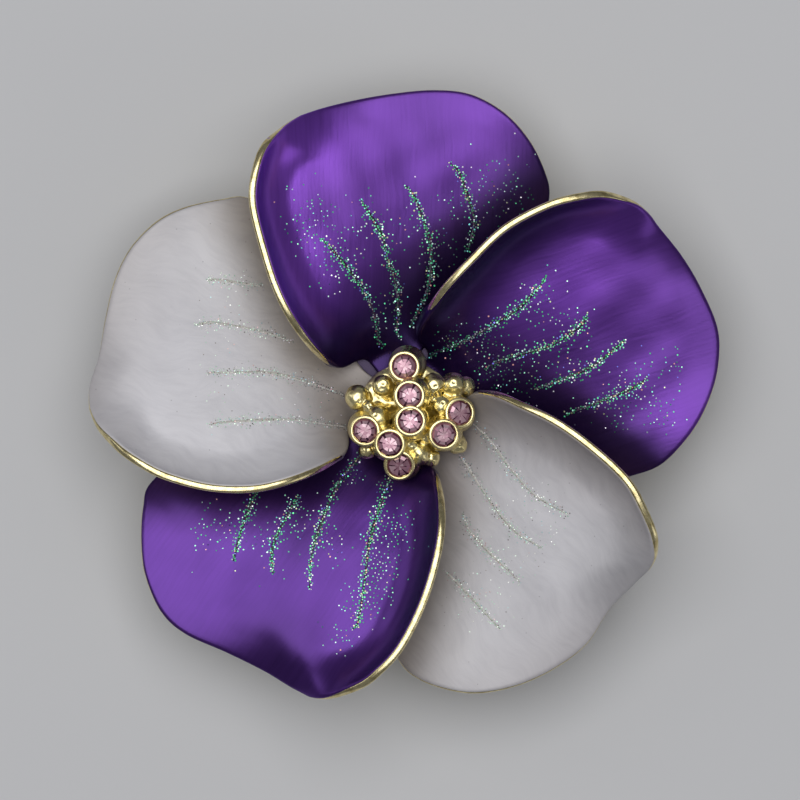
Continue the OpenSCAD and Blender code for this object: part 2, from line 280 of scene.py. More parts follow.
def enamel(name, light, deep, metallic, rough, streak, dark, lap, near, rim=None, coat=0.07, cloud=(0.74, 0.72, 0.78), brush=(55, 3.0, 0.03, 0.16), edge=(0.62, 6.0), lift=None, pits=False, spots=()):
    """Satin paint with long fine brush streaks, with painted light and shade added: a painted shadow along the side
    that tucks under the next petal's rim, painted shade round the middle of the flower and, on some petals, inside the
    rolled rim, painted shade along the outer edge (edge), a painted highlight near the rolled rim (lift) and soft round
    patches lightened or darkened (spots). lap, near and rim give where each shade is full and where it ends, in mm."""
    m, nt, b = new_mat(name)
    b.inputs["Metallic"].default_value = metallic
    b.inputs["Coat Weight"].default_value = coat
    b.inputs["Coat Roughness"].default_value = 0.22
    b.inputs["Coat IOR"].default_value = 1.5
    uv = node(nt, "ShaderNodeUVMap", uv_map="petal")
    warp = node(nt, "ShaderNodeTexNoise")
    warp.inputs["Scale"].default_value = 3.0
    warp.inputs["Detail"].default_value = 2
    nt.links.new(uv.outputs[0], warp.inputs["Vector"])
    add = node(nt, "ShaderNodeMix", data_type="RGBA", blend_type="LINEAR_LIGHT")
    add.inputs["Factor"].default_value = brush[2]
    nt.links.new(uv.outputs[0], add.inputs["A"])
    nt.links.new(warp.outputs["Color"], add.inputs["B"])
    mp = node(nt, "ShaderNodeMapping")
    mp.inputs["Scale"].default_value = (brush[0], brush[1], 1)
    nt.links.new(add.outputs["Result"], mp.inputs["Vector"])
    n1 = node(nt, "ShaderNodeTexNoise")
    n1.inputs["Scale"].default_value = 1.6
    n1.inputs["Detail"].default_value = 8
    n1.inputs["Roughness"].default_value = 0.62
    nt.links.new(mp.outputs[0], n1.inputs["Vector"])
    n3 = node(nt, "ShaderNodeTexNoise")
    n3.inputs["Scale"].default_value = 2.2
    n3.inputs["Detail"].default_value = 3
    nt.links.new(uv.outputs[0], n3.inputs["Vector"])
    cr = ramp(nt, [(0.32, tuple(l * (1 - streak) + d * streak for l, d in zip(light, deep))), (0.6, light)])
    nt.links.new(n1.outputs["Fac"], cr.inputs["Fac"])
    cr2 = ramp(nt, [(0.30, cloud), (0.62, (1, 1, 1))])
    nt.links.new(n3.outputs["Fac"], cr2.inputs["Fac"])
    mx = node(nt, "ShaderNodeMix", data_type="RGBA", blend_type="MULTIPLY")
    mx.inputs["Factor"].default_value = 1.0
    nt.links.new(cr.outputs["Color"], mx.inputs["A"])
    nt.links.new(cr2.outputs["Color"], mx.inputs["B"])
    out = mx.outputs["Result"]
    if pits:
        tc = node(nt, "ShaderNodeTexCoord")
        vo = node(nt, "ShaderNodeTexVoronoi")
        vo.inputs["Scale"].default_value = 900
        nt.links.new(tc.outputs["Object"], vo.inputs["Vector"])
        pr = ramp(nt, [(0.035, (0.35, 0.33, 0.34)), (0.07, (1, 1, 1))])
        nt.links.new(vo.outputs["Distance"], pr.inputs["Fac"])
        mx2 = node(nt, "ShaderNodeMix", data_type="RGBA", blend_type="MULTIPLY")
        mx2.inputs["Factor"].default_value = 0.55
        nt.links.new(out, mx2.inputs["A"])
        nt.links.new(pr.outputs["Color"], mx2.inputs["B"])
        out = mx2.outputs["Result"]
    # painted shade: distance from the line where the next petal's rim lies, and from the middle
    wob = node(nt, "ShaderNodeTexNoise")
    wob.inputs["Scale"].default_value = 5.0
    wob.inputs["Detail"].default_value = 3
    nt.links.new(uv.outputs[0], wob.inputs["Vector"])
    def line_shade(anchor, normal, ends):
        dot = node(nt, "ShaderNodeVectorMath", operation="DOT_PRODUCT")
        dot.inputs[1].default_value = (normal[0] * 30, normal[1] * 30, 0)
        nt.links.new(uv.outputs[0], dot.inputs[0])
        off = node(nt, "ShaderNodeMath", operation="MULTIPLY_ADD")
        off.inputs[1].default_value = 2.4
        off.inputs[2].default_value = -normal[0] * 15 - (normal[0] * anchor[0] + normal[1] * anchor[1]) - 1.2
        nt.links.new(wob.outputs["Fac"], off.inputs[0])
        total = node(nt, "ShaderNodeMath", operation="ADD")
        nt.links.new(dot.outputs["Value"], total.inputs[0])
        nt.links.new(off.outputs[0], total.inputs[1])
        r = node(nt, "ShaderNodeMapRange", interpolation_type="SMOOTHSTEP")
        r.inputs["From Min"].default_value, r.inputs["From Max"].default_value = ends
        nt.links.new(total.outputs[0], r.inputs["Value"])
        return r.outputs[0]

    sc = node(nt, "ShaderNodeVectorMath", operation="DISTANCE")
    sc.inputs[1].default_value = (0.5, 0.0, 0)
    nt.links.new(uv.outputs[0], sc.inputs[0])
    a2 = node(nt, "ShaderNodeMapRange", interpolation_type="SMOOTHSTEP")
    a2.inputs["From Min"].default_value = near[0] / 30
    a2.inputs["From Max"].default_value = near[1] / 30
    nt.links.new(sc.outputs["Value"], a2.inputs["Value"])
    parts = [line_shade((1.4, 8.9), LAP_ACROSS, lap), a2.outputs[0]]
    if rim:
        parts.append(line_shade((-8.0, 4.1), (0.917, 0.4), rim))
    # painted shade along the outer edge, falling to edge[0] at the edge itself
    outer = line_shade((0.0, 29.0), (0.0, -1.0), (-3.0, edge[1]))
    soft = node(nt, "ShaderNodeMapRange")
    soft.inputs["To Min"].default_value = edge[0]
    nt.links.new(outer, soft.inputs["Value"])
    parts.append(soft.outputs[0])
    level = parts[0]
    for q in parts[1:]:
        both = node(nt, "ShaderNodeMath", operation="MULTIPLY")
        nt.links.new(level, both.inputs[0])
        nt.links.new(q, both.inputs[1])
        level = both.outputs[0]
    # painted shade: the paint is mixed toward paint times the dark tone where the shade level is low
    mx3 = node(nt, "ShaderNodeMix", data_type="RGBA", blend_type="MIX")
    nt.links.new(level, mx3.inputs["Factor"])
    mul = node(nt, "ShaderNodeMix", data_type="RGBA", blend_type="MULTIPLY")
    mul.inputs["Factor"].default_value = 1.0
    mul.inputs["B"].default_value = (*dark, 1)
    nt.links.new(out, mul.inputs["A"])
    nt.links.new(mul.outputs["Result"], mx3.inputs["A"])
    nt.links.new(out, mx3.inputs["B"])
    out = mx3.outputs["Result"]
    # painted highlight: the paint is lightened near the rolled rim
    if lift:
        near_rim = line_shade((-8.0, 4.1), (0.917, 0.4), lift[1])
        m6 = node(nt, "ShaderNodeMix", data_type="RGBA", blend_type="MULTIPLY")
        m6.inputs["B"].default_value = (lift[0], lift[0], lift[0], 1)
        nt.links.new(near_rim, m6.inputs["Factor"])
        nt.links.new(out, m6.inputs["A"])
        out = m6.outputs["Result"]
    for sx, sy, sr, gain in spots:  # painted highlight where gain is above 1, painted shade where it is below, in soft round patches
        far = node(nt, "ShaderNodeVectorMath", operation="DISTANCE")
        far.inputs[1].default_value = (sx / 30 + 0.5, sy / 30, 0)
        nt.links.new(uv.outputs[0], far.inputs[0])
        r7 = node(nt, "ShaderNodeMapRange", interpolation_type="SMOOTHSTEP")
        r7.inputs["From Max"].default_value = sr / 30
        r7.inputs["To Min"].default_value = 1.0
        r7.inputs["To Max"].default_value = 0.0
        nt.links.new(far.outputs["Value"], r7.inputs["Value"])
        m7 = node(nt, "ShaderNodeMix", data_type="RGBA", blend_type="MULTIPLY")
        m7.inputs["B"].default_value = (gain, gain, gain, 1)
        nt.links.new(r7.outputs[0], m7.inputs["Factor"])
        nt.links.new(out, m7.inputs["A"])
        out = m7.outputs["Result"]
    nt.links.new(out, b.inputs["Base Color"])
    mr = node(nt, "ShaderNodeMapRange")
    mr.inputs["To Min"].default_value = rough * 0.85
    mr.inputs["To Max"].default_value = rough * 1.2
    nt.links.new(n1.outputs["Fac"], mr.inputs["Value"])
    nt.links.new(mr.outputs["Result"], b.inputs["Roughness"])
    bp = node(nt, "ShaderNodeBump")
    bp.inputs["Strength"].default_value = brush[3]
    bp.inputs["Distance"].default_value = 0.00006
    nt.links.new(n1.outputs["Fac"], bp.inputs["Height"])
    nt.links.new(bp.outputs["Normal"], b.inputs["Normal"])
    return m


def flake_mat(name, stops, rough=0.18, glow=0.0):
    m, nt, b = new_mat(name)
    geo = node(nt, "ShaderNodeNewGeometry")
    cr = ramp(nt, stops)
    cr.color_ramp.interpolation = "CONSTANT"
    nt.links.new(geo.outputs["Random Per Island"], cr.inputs["Fac"])
    lit = node(nt, "ShaderNodeVertexColor", layer_name="lit")
    mx = node(nt, "ShaderNodeMix", data_type="RGBA", blend_type="MULTIPLY")
    mx.inputs["Factor"].default_value = 1.0
    nt.links.new(cr.outputs["Color"], mx.inputs["A"])
    nt.links.new(lit.outputs["Color"], mx.inputs["B"])
    nt.links.new(mx.outputs["Result"], b.inputs["Base Color"])
    b.inputs["Metallic"].default_value = 0.35
    # painted glow: each flake emits a little of its own colour in place of sparkle
    nt.links.new(mx.outputs["Result"], b.inputs["Emission Color"])
    b.inputs["Emission Strength"].default_value = glow
    b.inputs["Roughness"].default_value = rough
    return m


MAT_GOLD = gold("gold_plate")
MAT_GOLD_RIM = gold("gold_petal", base=(0.80, 0.71, 0.42), rough=0.22, bump=0.2, specks=True)
MAT_CAST = gold("gold_cast", base=(0.92, 0.80, 0.42), rough=0.25, hollow_shade=0.7, bump=0.12, dark=(0.46, 0.32, 0.07))
# painted shade: the plate's upward faces are dark purple and less metallic, so the gaps between the petals read as
# shadow; the back stays gold
MAT_PLATE = gold("gold_plate_shaded_top")
nt = MAT_PLATE.node_tree
b = nt.nodes["Principled BSDF"]
geo = node(nt, "ShaderNodeNewGeometry")
sep = node(nt, "ShaderNodeSeparateXYZ")
nt.links.new(geo.outputs["Normal"], sep.inputs[0])
up = node(nt, "ShaderNodeMath", operation="GREATER_THAN")
up.inputs[1].default_value = 0.6
nt.links.new(sep.outputs["Z"], up.inputs[0])
gap_shade = node(nt, "ShaderNodeMix", data_type="RGBA", blend_type="MIX")
old = b.inputs["Base Color"].links[0].from_socket
nt.links.new(up.outputs[0], gap_shade.inputs["Factor"])
nt.links.new(old, gap_shade.inputs["A"])
gap_shade.inputs["B"].default_value = (*srgb(40, 27, 54), 1)
nt.links.new(gap_shade.outputs["Result"], b.inputs["Base Color"])
inv = node(nt, "ShaderNodeMapRange")
inv.inputs["To Min"].default_value = 1.0
inv.inputs["To Max"].default_value = 0.6
nt.links.new(up.outputs[0], inv.inputs["Value"])
nt.links.new(inv.outputs[0], b.inputs["Metallic"])
MAT_WIRE = gold("pin_wire", base=(0.82, 0.76, 0.60), rough=0.2, hollow_shade=0.1)
PURPLE = (srgb(110, 62, 161), srgb(82, 43, 128), 0.80, 0.30, 0.3)
# painted shade: a darker copy of the purple for the lower-left petal, which the lamp lights more strongly
PURPLE_SHADED_COPY = (srgb(92, 51, 139), srgb(68, 35, 109), 0.80, 0.30, 0.3)
PEARL = (srgb(214, 212, 216), srgb(197, 195, 200), 0.12, 0.45, 0.6)
# painted shade tone: the paint is multiplied by it where the painted shades are full
PAINTED_SHADE_TONE = (0.16, 0.17, 0.20)
LAP_ACROSS = (-0.66, 0.75)
SHADES = {  # where each painted shade is full and where it ends (mm): painted shadow under the next petal's rim, painted shade round the middle, painted shade inside the rim
    "top": ((1.6, 8.0), (3.5, 10.5), None), "right": ((1.4, 7.2), (4.5, 14.5), (1.0, 6.6)), "lower_right": ((-1.0, 7.0), (3.5, 12), (-2.5, 9.0)),
    "lower_left": ((0.4, 5.4), (3, 9.5), (-1.8, 3.0)), "left": ((-0.5, 6.5), (3, 9), None)}
# per petal: the dark tone colours the painted shade, edge is painted shade along the outer edge, lift is a painted
# highlight near the rolled rim, spots lighten (painted highlight) or darken (painted shade) round patches
PAINT = {
    "top": enamel("purple_enamel_top", *PURPLE, PAINTED_SHADE_TONE, *SHADES["top"], lift=(1.62, (7.5, 1.5)), spots=((-9.6, 25.2, 6.5, 1.85), (-6.5, 14.5, 4.0, 1.25), (3.0, 26.0, 4.5, 0.86))),
    "right": enamel("purple_enamel_right", *PURPLE, (0.18, 0.19, 0.22), *SHADES["right"], lift=(1.25, (13.0, 7.0)), edge=(0.55, 7.0), spots=((-4.4, 17.8, 5.0, 1.5), (10.4, 23.4, 5.0, 1.35), (1.5, 17.5, 4.5, 0.86))),
    "lower_left": enamel("purple_enamel_lower_left", *PURPLE_SHADED_COPY, (0.38, 0.38, 0.42), *SHADES["lower_left"], edge=(0.60, 9.0), spots=((-6.0, 9.0, 4.5, 1.35), (0.1, 16.2, 4.5, 0.80), (-4.2, 25.3, 7.0, 0.70), (8.5, 22.0, 5.0, 0.90))),
    "lower_right": enamel("pearl_enamel_lower_right", *PEARL, (0.42, 0.38, 0.36), *SHADES["lower_right"], spots=((-8.0, 25.5, 8.0, 0.74),), coat=0.08, cloud=(0.88, 0.88, 0.89), brush=(34, 7.0, 0.14, 0.14), edge=(0.45, 8.0), pits=True),
    "left": enamel("pearl_enamel_left", *PEARL, (0.50, 0.45, 0.40), *SHADES["left"], coat=0.08, cloud=(0.90, 0.90, 0.91), brush=(34, 7.0, 0.14, 0.14), edge=(0.45, 8.0), pits=True),
}

# ------------------------------------------------------------------ build petals
M_SPOKE = 8
petal_trees = {}
for k, nm in enumerate(PETALS):
    fn, cn = 14, 16
    P = petal_grid(k, M_SPOKE, fn, cn, 0.22)
    nrm, tan = grid_normals(P)
    E = petal_grid(k, M_SPOKE, fn, cn, 0.0)[:, -1]
    En, Et = nrm[:, -1], tan[:, -1]
    Pb = P - SHEET * nrm
    # rounded rim in section: front corner, flat, back corner
    R = 0.2
    rim = []
    for q in range(1, 4):
        w = q / 3 * math.pi / 2
        rim.append((R * math.sin(w) - R, -(R - R * math.cos(w))))
    rim.append((0.015, -SHEET / 2))
    for q in range(0, 3):
        w = q / 3 * math.pi / 2
        rim.append((R * math.cos(w) - R, -(SHEET - R) - R * math.sin(w)))
    rings = [P[0, 0]] + [P[:, j] for j in range(1, P.shape[1])]
    rings += [E + Et * ds + En * dn for ds, dn in rim]
    rings += [Pb[:, j] for j in range(P.shape[1] - 1, 0, -1)] + [Pb[:, 0].mean(0)]
    uv = [np.array([0.5, 0.6])] + [np.stack([q[:, 0] / 30 + 0.5, q[:, 1] / 30], 1) for q in rings[1:-1]] + [np.array([0.5, 0.6])]
    ob = loft("gold_" + nm, rings, uv, k, MAT_GOLD_RIM)
    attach(ob, "brooch")
    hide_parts("petal_" + nm)

    # enamel: full thickness inside, a soft meniscus down to the gold at the edge
    curl = np.clip((spline(outline(k), M_SPOKE)[:, 2] - 25) / 45, 0, 1)[:, None]
    last = 2 if nm == "right" else 1
    ends = np.array([1.0] * 2 + [0.0] * (len(ROOT) + len(FREE_CURL) - 2 - last) + [1.0] * (last + len(TAIL)))
    wrap = np.clip(spline(np.stack([ends] * 2, 1), M_SPOKE)[:, :1], 0, 1)
    curl = curl * (1 - wrap)
    bare = (0.13 if nm in ("lower_right", "left") else 0.07) * (1 - wrap)
    stop = (0.02 + 0.14 * curl + bare * (1 - curl))[:, 0]
    Q = petal_grid(k, M_SPOKE, fn, cn, stop)
    qn, qt = grid_normals(Q)
    outer = Q[:, -1]
    top = [Q[0, 0] + np.array([0, 0, SKIN])] + [Q[:, j] + SKIN * qn[:, j] for j in range(1, Q.shape[1] - 1)]
    edge = [((-0.16, 0.14), (-0.10, 0.13)), ((-0.07, 0.10), (0.02, 0.06)), ((0.0, 0.02), (0.065, -0.12)), ((0.0, -0.03), (0.045, -0.42))]
    deep = [0, 0, -0.10 * wrap, -0.46 * wrap]
    rings = top + [outer + qt[:, -1] * (a[0] * curl + b[0] * (1 - curl)) + qn[:, -1] * (a[1] * curl + b[1] * (1 - curl) + w) for (a, b), w in zip(edge, deep)]
    rings += [Q[:, j] - 0.03 * qn[:, j] for j in range(Q.shape[1] - 2, 0, -1)] + [Q[:, 0].mean(0) - np.array([0, 0, 0.03])]
    uv = [np.array([0.5, 0.6])] + [np.stack([q[:, 0] / 30 + 0.5, q[:, 1] / 30], 1) for q in rings[1:-1]] + [np.array([0.5, 0.6])]
    en = loft("paint_" + nm, rings, uv, k, PAINT[nm])
    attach(en, "brooch")
    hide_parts("enamel_" + nm)
    bm = bmesh.new()
    bm.from_mesh(en.data)
    petal_trees[nm] = BVHTree.FromBMesh(bm)
    bm.free()

# ------------------------------------------------------------------ camera
CAM_D = 0.60
cam_data = bpy.data.cameras.new("camera")
cam = bpy.data.objects.new("camera", cam_data)
bpy.context.scene.collection.objects.link(cam)
cam_data.sensor_width = 36
cam_data.lens = 36 * CAM_D / 0.0768
AIM = np.array([-0.43, -0.58, 10.0])
cam.location = (AIM[0] * MM, AIM[1] * MM, AIM[2] * MM + CAM_D)
cam.rotation_euler = (0, 0, 0)
cam_data.clip_start, cam_data.clip_end = 0.01, 10
bpy.context.scene.camera = cam
CAM = Vector(cam.location)


def drop(x, y):
    """Finds the enamel under a point of the flower's plan as the camera sees it (mm from the hub)."""
    p = Vector(((HUB[0] + x) * MM, (HUB[1] + y) * MM, AIM[2] * MM))
    d = (p - CAM).normalized()
    best = None
    for nm, tree in petal_trees.items():
        hit = tree.ray_cast(CAM, d)
        if hit[0] is not None and (best is None or hit[3] < best[3]):
            best = (hit[0], hit[1], nm, hit[3])
    return best


# ------------------------------------------------------------------ glitter
STROKES = {
    "top": [[(-7.6, 15.6), (-6.7, 14.7), (-5.0, 12.7), (-3.5, 10.5), (-2.5, 8.4), (-2.1, 6.0), (-1.7, 5.3)],
            [(-3.7, 19.2), (-3.1, 18.2), (-1.7, 15.8), (-1.2, 13.6), (-0.5, 11.7), (-0.2, 9.6), (-0.3, 6.7), (0.0, 6.0)],
            [(0.5, 20.6), (1.2, 19.9), (2.1, 17.8), (2.9, 15.1), (2.9, 12.0), (2.2, 9.6), (1.0, 7.2)],
            [(4.8, 22.8), (5.6, 22.1), (6.3, 20.2), (7.1, 17.3), (6.5, 14.4)]],
    "right": [[(14.0, 12.0), (13.4, 11.0), (11.5, 9.0), (9.6, 7.7), (6.7, 6.0), (3.8, 4.8), (2.9, 4.3)],
              [(18.0, 8.4), (17.3, 7.2), (14.4, 5.3), (11.0, 4.3), (8.2, 3.2)],
              [(21.6, 5.8), (20.6, 5.0), (18.4, 3.3), (15.4, 2.0), (13.0, 1.2)],
              [(23.8, 2.4), (23.0, 1.6), (20.6, 0.5), (17.3, -0.8), (15.9, -1.3)]],
    "lower_right": [[(6.9, -2.1), (8.6, -3.8), (10.6, -6.5), (13.0, -9.1), (16.1, -10.9)],
                    [(5.8, -5.3), (6.7, -6.7), (8.6, -9.6), (11.0, -12.5), (13.6, -14.1)],
                    [(6.0, -10.8), (6.7, -12.5), (8.6, -14.6), (10.6, -16.5), (11.5, -17.4)],
                    [(4.3, -16.3), (5.8, -17.8), (8.4, -20.6), (9.6, -21.9)]],
    "lower_left": [[(-13.7, -8.6), (-14.4, -10.1), (-15.4, -13.0), (-16.0, -15.4)],
                   [(-9.6, -9.1), (-10.6, -10.6), (-12.2, -13.9), (-12.2, -16.6)],
                   [(-3.3, -4.9), (-4.3, -5.9), (-5.8, -7.7), (-7.2, -10.8), (-8.4, -14.4), (-8.7, -18.0)],
                   [(-1.0, -7.5), (-1.6, -9.1), (-2.9, -13.4), (-3.4, -17.3), (-4.0, -21.1), (-4.5, -21.9)]],
    "left": [[(-18.5, 11.6), (-17.3, 11.6), (-13.2, 11.0)],
             [(-19.6, 7.3), (-17.8, 7.5), (-13.4, 6.7), (-10.4, 5.7)],
             [(-18.5, 2.7), (-16.8, 2.7), (-12.5, 2.7), (-8.6, 1.7), (-5.3, 0.5)],
             [(-18.4, -2.3), (-16.3, -2.0), (-10.6, -1.8), (-6.7, -2.3), (-5.1, -2.5)]],
}
# loose flakes: centre x, y, spread, count
SCATTER = {
    "top": [(-8.5, 17.5, 2.6, 60), (-6.0, 13.5, 2.2, 45), (-3.5, 17.5, 2.2, 30), (0.5, 17.0, 2.5, 30), (9.0, 21.0, 3.0, 45),
            (6.5, 19.5, 2.2, 40), (4.0, 14.5, 2.5, 35), (-1.0, 8.5, 1.6, 25), (11.5, 19.5, 1.6, 14)],
    "right": [(22.5, 1.5, 2.2, 50), (20.5, -1.0, 2.0, 40), (25.0, -1.3, 2.0, 25), (26.0, 3.5, 1.8, 18), (15.5, 6.5, 2.6, 35),
              (13.0, 9.5, 2.4, 35), (17.5, 3.5, 2.2, 30), (8.0, 6.0, 2.0, 60), (9.0, 2.6, 1.8, 60), (12.5, 2.0, 2.4, 60), (5.0, 5.5, 1.5, 40)],
    "lower_right": [(12.0, -10.0, 2.4, 22), (10.5, -15.0, 2.6, 26), (8.0, -19.5, 2.2, 26), (14.0, -13.0, 2.0, 14)],
    "lower_left": [(-4.6, -7.0, 0.9, 60), (-1.4, -8.2, 0.7, 40), (-0.8, -12.5, 1.8, 95), (-3.5, -19.5, 1.7, 100), (-2.2, -15.5, 1.5, 80), (-5.5, -22.5, 1.6, 22), (-17.5, -12.5, 2.2, 45), (-13.0, -13.5, 2.4, 35),
                   (-9.5, -11.5, 2.2, 35), (-6.5, -14.5, 2.0, 30), (-1.4, -17.0, 1.4, 35)],
    "left": [(-18.0, 5.0, 2.2, 14), (-15.5, 9.5, 2.4, 14), (-17.5, 0.5, 2.2, 14), (-9.0, 0.0, 2.4, 12)],
}
DARK_FLAKES = [(0.0, srgb(170, 255, 205)), (0.20, srgb(96, 226, 150)), (0.40, srgb(214, 255, 232)), (0.50, srgb(74, 200, 122)), (0.62, srgb(130, 236, 214)),
               (0.71, srgb(52, 146, 96)), (0.77, srgb(226, 240, 176)), (0.83, srgb(250, 255, 250)), (0.90, srgb(236, 176, 160)),
               (0.93, srgb(130, 140, 235)), (0.96, srgb(60, 60, 110))]
PALE_FLAKES = [(0.0, srgb(226, 250, 226)), (0.24, srgb(170, 190, 168)), (0.38, srgb(190, 236, 206)), (0.55, srgb(252, 255, 246)),
               (0.72, srgb(122, 116, 108)), (0.80, srgb(226, 190, 184)), (0.86, srgb(176, 222, 222)), (0.93, srgb(255, 255, 250))]
MAT_FLAKE_D = flake_mat("glitter_dark", DARK_FLAKES, rough=0.3, glow=0.22)
MAT_FLAKE_P = flake_mat("glitter_pale", PALE_FLAKES, rough=0.3, glow=0.06)


def glue_mat(name, col, rough=0.25, low=0.6):
    m, nt, b = new_mat(name)
    tc = node(nt, "ShaderNodeTexCoord")
    n1 = node(nt, "ShaderNodeTexNoise")
    n1.inputs["Scale"].default_value = 2500
    n1.inputs["Detail"].default_value = 4
    nt.links.new(tc.outputs["Object"], n1.inputs["Vector"])
    cr = ramp(nt, [(0.35, tuple(c * low for c in col)), (0.65, tuple(min(1, c * (1.9 - 0.9 * low)) for c in col))])
    nt.links.new(n1.outputs["Fac"], cr.inputs["Fac"])
    nt.links.new(cr.outputs["Color"], b.inputs["Base Color"])
    b.inputs["Roughness"].default_value = rough
    b.inputs["Metallic"].default_value = 0.1
    bp = node(nt, "ShaderNodeBump")
    bp.inputs["Strength"].default_value = 0.5
    bp.inputs["Distance"].default_value = 0.00004
    nt.links.new(n1.outputs["Fac"], bp.inputs["Height"])
    nt.links.new(bp.outputs["Normal"], b.inputs["Normal"])
    return m


MAT_GLUE_D = glue_mat("glitter_bed_dark", srgb(50, 22, 58), 0.4)
MAT_GLUE_P = glue_mat("glitter_bed_pale", srgb(190, 186, 181), 0.5, 0.88)


def smooth_line(pts, step):
    p = [np.array(q, float) for q in pts]
    p = [2 * p[0] - p[1]] + p + [2 * p[-1] - p[-2]]
    out = []
    for i in range(1, len(p) - 2):
        a, b, c, d = p[i - 1:i + 3]
        n = max(2, int(np.linalg.norm(c - b) / step))
        for q in range(n):
            t = q / n
            out.append(0.5 * (2 * b + (c - a) * t + (2 * a - 5 * b + 4 * c - d) * t * t + (3 * b - a - 3 * c + d) * t ** 3))
    out.append(p[-2])
    return out


def add_flake(V, F, c, n, r, turn, lift, tilt):
    n = (Vector(n) + Vector(tilt)).normalized()
    u = n.orthogonal().normalized()
    v = n.cross(u)
    base = len(V)
    c = Vector(c) + n * lift
    for h in (0, 1):
        for q in range(6):
            w = turn + q * math.pi / 3
            V.append(c + u * (r * math.cos(w)) + v * (r * math.sin(w)) + n * (h * 0.000022))
    F.append([base + 6 + q for q in range(6)])
    F.append([base + 5 - q for q in range(6)])
    for q in range(6):
        F.append([base + q, base + (q + 1) % 6, base + 6 + (q + 1) % 6, base + 6 + q])


def raw(name, V, F, mat, smooth=False):
    me = bpy.data.meshes.new(name)
    me.from_pydata([tuple(v) for v in V], [], F)
    me.materials.append(mat)
    if smooth:
        me.polygons.foreach_set("use_smooth", [True] * len(me.polygons))
    me.update()
    ob = bpy.data.objects.new(name, me)
    bpy.context.scene.collection.objects.link(ob)
    return ob


def lit_at(nm, x, y):
    """How much light a flake shows at a place in plan, following the petal's painted shades."""
    a = -math.radians(TURNS[PETALS.index(nm)])
    px, py = x * math.cos(a) - y * math.sin(a), x * math.sin(a) + y * math.cos(a)
    lap, near, rim = SHADES[nm]
    step = lambda v, e: (lambda t: t * t * (3 - 2 * t))(min(1.0, max(0.0, (v - e[0]) / (e[1] - e[0]))))
    q = step(-0.66 * (px - 1.4) + 0.75 * (py - 8.9), lap) * step(math.hypot(px, py), near)
    if rim:
        q *= step(0.917 * (px + 8.0) + 0.4 * (py - 4.1), rim)
    return q


def sprinkle(V, F, spots, x, y, nm, gap, r, lift, tilt):
    """One flake at a place in plan, unless another lies closer than gap."""
    gx, gy = int(math.floor(x / 0.25)), int(math.floor(y / 0.25))
    for ix in (gx - 1, gx, gx + 1):
        for iy in (gy - 1, gy, gy + 1):
            for sx, sy in spots.get((ix, iy), ()):
                if (sx - x) ** 2 + (sy - y) ** 2 < gap * gap:
                    return
    hp = drop(x, y)
    if hp is None or hp[2] != nm:
        return
    spots.setdefault((gx, gy), []).append((x, y))
    add_flake(V, F, hp[0], hp[1], r * rng.uniform(0.8, 1.2) * MM, rng.uniform(0, 1), lift * MM, rng.normal(0, tilt, 3))
    # painted shade on the flakes: dimmer and bluer where the petal's painted shade lies; about one in five stays at
    # full brightness as a painted glint
    q = lit_at(nm, x, y)
    level = 1.0 if rng.random() < 0.22 else 0.20 + 0.80 * q
    LIT.append((level, level * (0.9 + 0.1 * q), level * (1.15 - 0.15 * q)))


